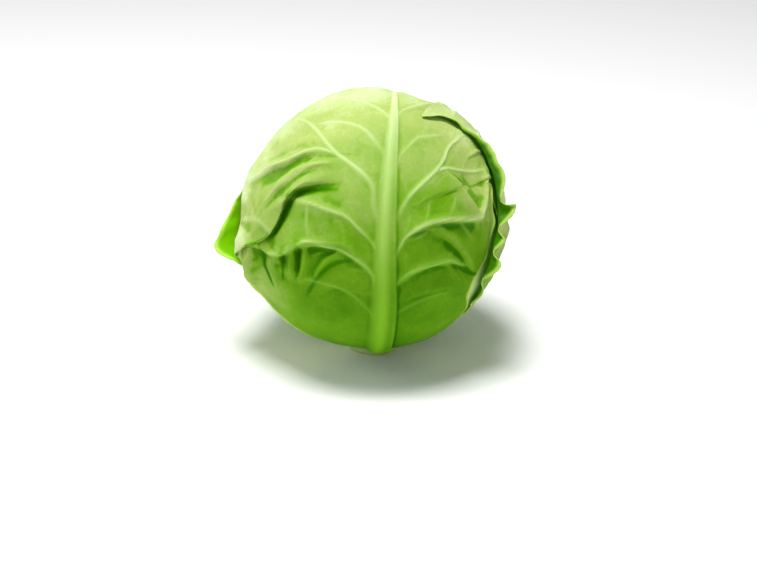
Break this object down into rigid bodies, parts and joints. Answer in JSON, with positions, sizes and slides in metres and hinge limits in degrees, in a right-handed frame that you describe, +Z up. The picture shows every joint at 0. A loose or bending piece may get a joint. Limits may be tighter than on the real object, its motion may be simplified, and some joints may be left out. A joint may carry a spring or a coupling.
{
  "type": "cabbage head",
  "caption": "Round green cabbage head with a tight heart wrapped in broad ribbed outer leaves, standing on its flat cut stem.",
  "frame": {"origin": "centre of the stem's flat cut face, on the surface that the head stands on", "axes": "+Z up through the head's middle, -Y towards the front leaf's midrib"},
  "size_m": [0.1805, 0.1673, 0.1614],
  "materials": {
    "heart": "waxy pale green inner leaves",
    "stem": "cream cut stem",
    "back_leaf": "waxy leaf with pale veins",
    "front_leaf": "waxy leaf with pale veins",
    "left_leaf": "waxy leaf with pale veins",
    "right_leaf": "waxy leaf with pale veins"
  },
  "bodies": {
    "root": {"heart": "heart", "stem": "stem", "back_leaf": "back_leaf", "front_leaf": "front_leaf", "left_leaf": "left_leaf", "right_leaf": "right_leaf"}
  },
  "joints": []
}
